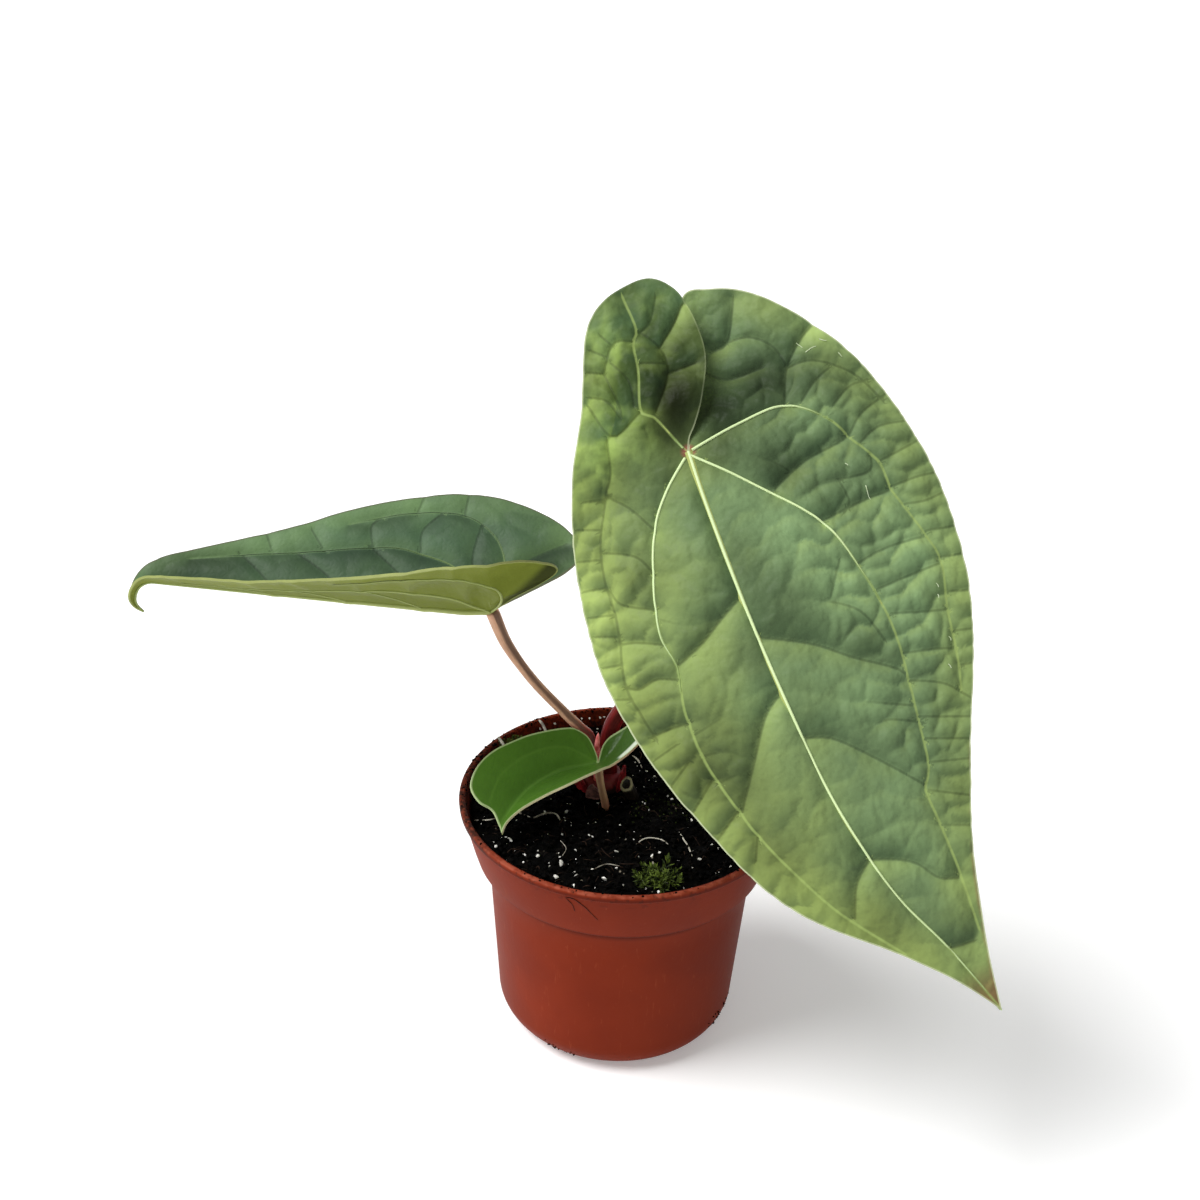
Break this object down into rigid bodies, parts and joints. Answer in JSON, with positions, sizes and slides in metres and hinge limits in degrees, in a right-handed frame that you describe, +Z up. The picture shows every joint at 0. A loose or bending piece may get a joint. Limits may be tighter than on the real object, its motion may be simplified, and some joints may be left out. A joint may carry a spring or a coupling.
{
  "type": "potted anthurium",
  "caption": "Young anthurium hybrid with large, folded and small heart-shaped leaves on slender petioles, in a small terracotta-coloured plastic nursery pot.",
  "frame": {"origin": "centre of the underside of the pot's floor", "axes": "+Z up along the pot's axis; the large blade faces -Y and hangs towards +X, the folded blade points towards -X"},
  "size_m": [0.2259, 0.1249, 0.2111],
  "materials": {
    "pot_plastic": "matte",
    "potting_mix": "matte",
    "moss": "matte",
    "crown_tissue": "matte",
    "red_tissue": "satin",
    "dry_scale": "matte",
    "petiole_red": "satin",
    "petiole_tan": "satin",
    "blade_green": "satin",
    "blade_blue_green": "satin",
    "blade_bright": "gloss"
  },
  "bodies": {
    "root": {"pot": "pot_plastic", "soil": "potting_mix", "moss_tuft": "moss", "crown": "crown_tissue", "leaf_bud": "red_tissue", "sheath_right": "red_tissue", "sheath_left": "red_tissue", "sheath_dry": "dry_scale", "petiole_large": "petiole_red", "petiole_left": "petiole_tan", "petiole_small": "petiole_tan", "petiole_stub": "petiole_tan", "blade_large": "blade_green", "blade_left": "blade_blue_green", "blade_small": "blade_bright"}
  },
  "joints": []
}
